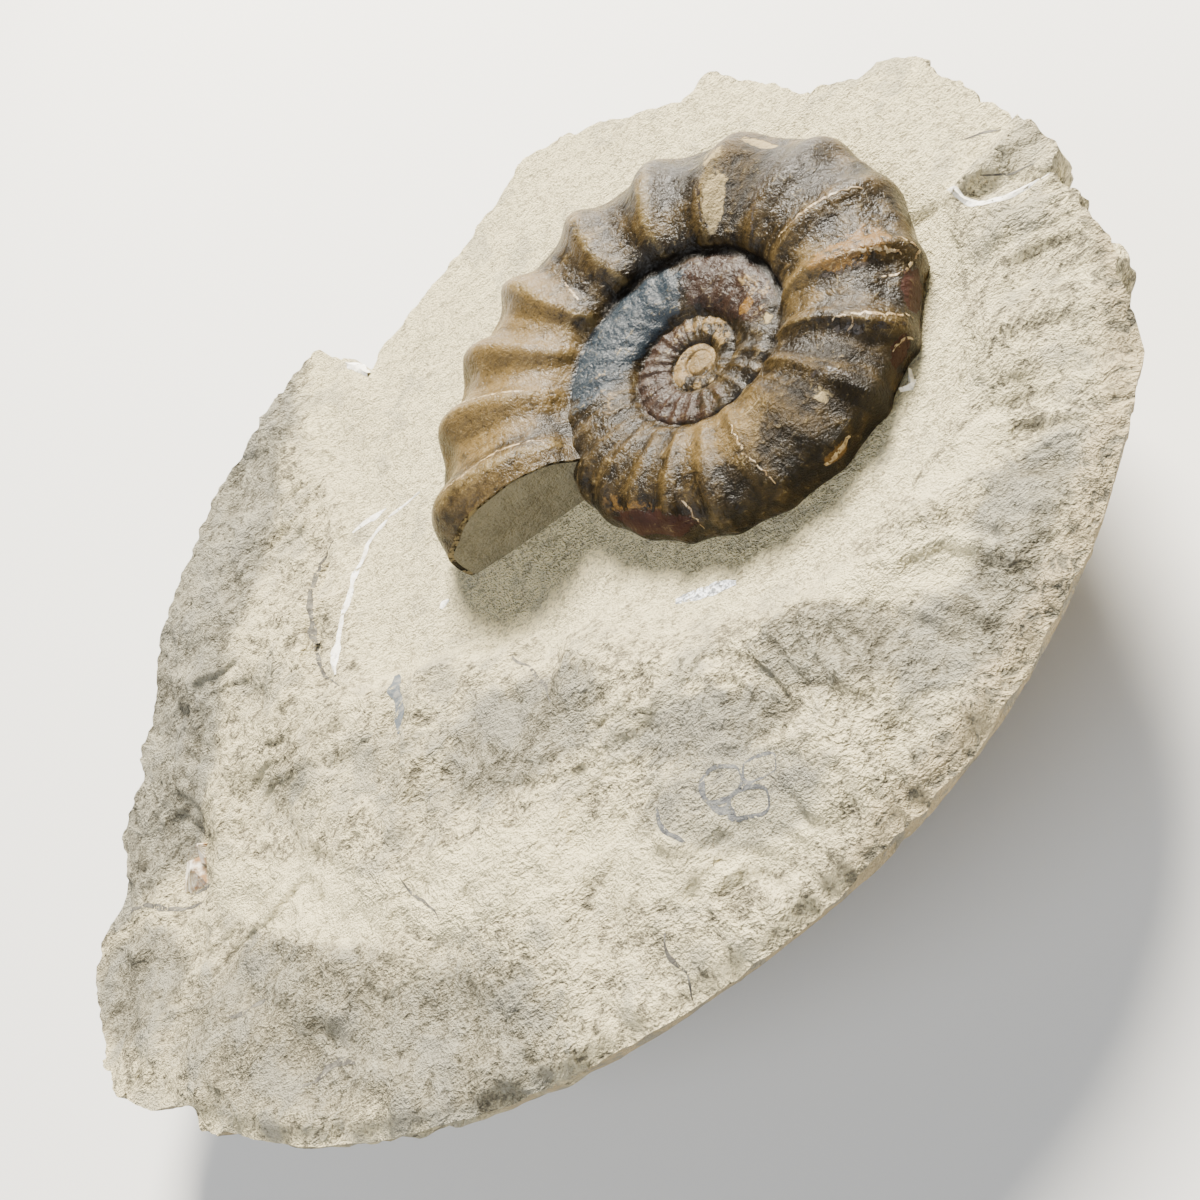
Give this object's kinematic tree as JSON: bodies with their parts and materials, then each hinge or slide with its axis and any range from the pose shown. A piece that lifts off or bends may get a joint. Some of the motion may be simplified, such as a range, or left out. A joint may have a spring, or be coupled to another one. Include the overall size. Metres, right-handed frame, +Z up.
{
  "type": "fossil androgynoceras ammonite",
  "caption": "Strongly ribbed coiled fossil shell half bared in the top of a split limestone nodule, which rests on a small flat spot under it for display",
  "frame": {"origin": "centre of the small flat spot under the stone that it rests on", "axes": "+X along the long way of the stone towards the coil, +Y from the mouth side of the coil to the broken far edge, +Z up along the coil's axis"},
  "size_m": [0.1, 0.0761, 0.0243],
  "materials": {
    "limestone": "matte, split and air-abraded",
    "fossil_shell": "waxed",
    "shell_chip": "pearly"
  },
  "bodies": {
    "root": {"matrix": "limestone", "ammonite": "fossil_shell", "shell_fragment": "shell_chip"}
  },
  "joints": []
}
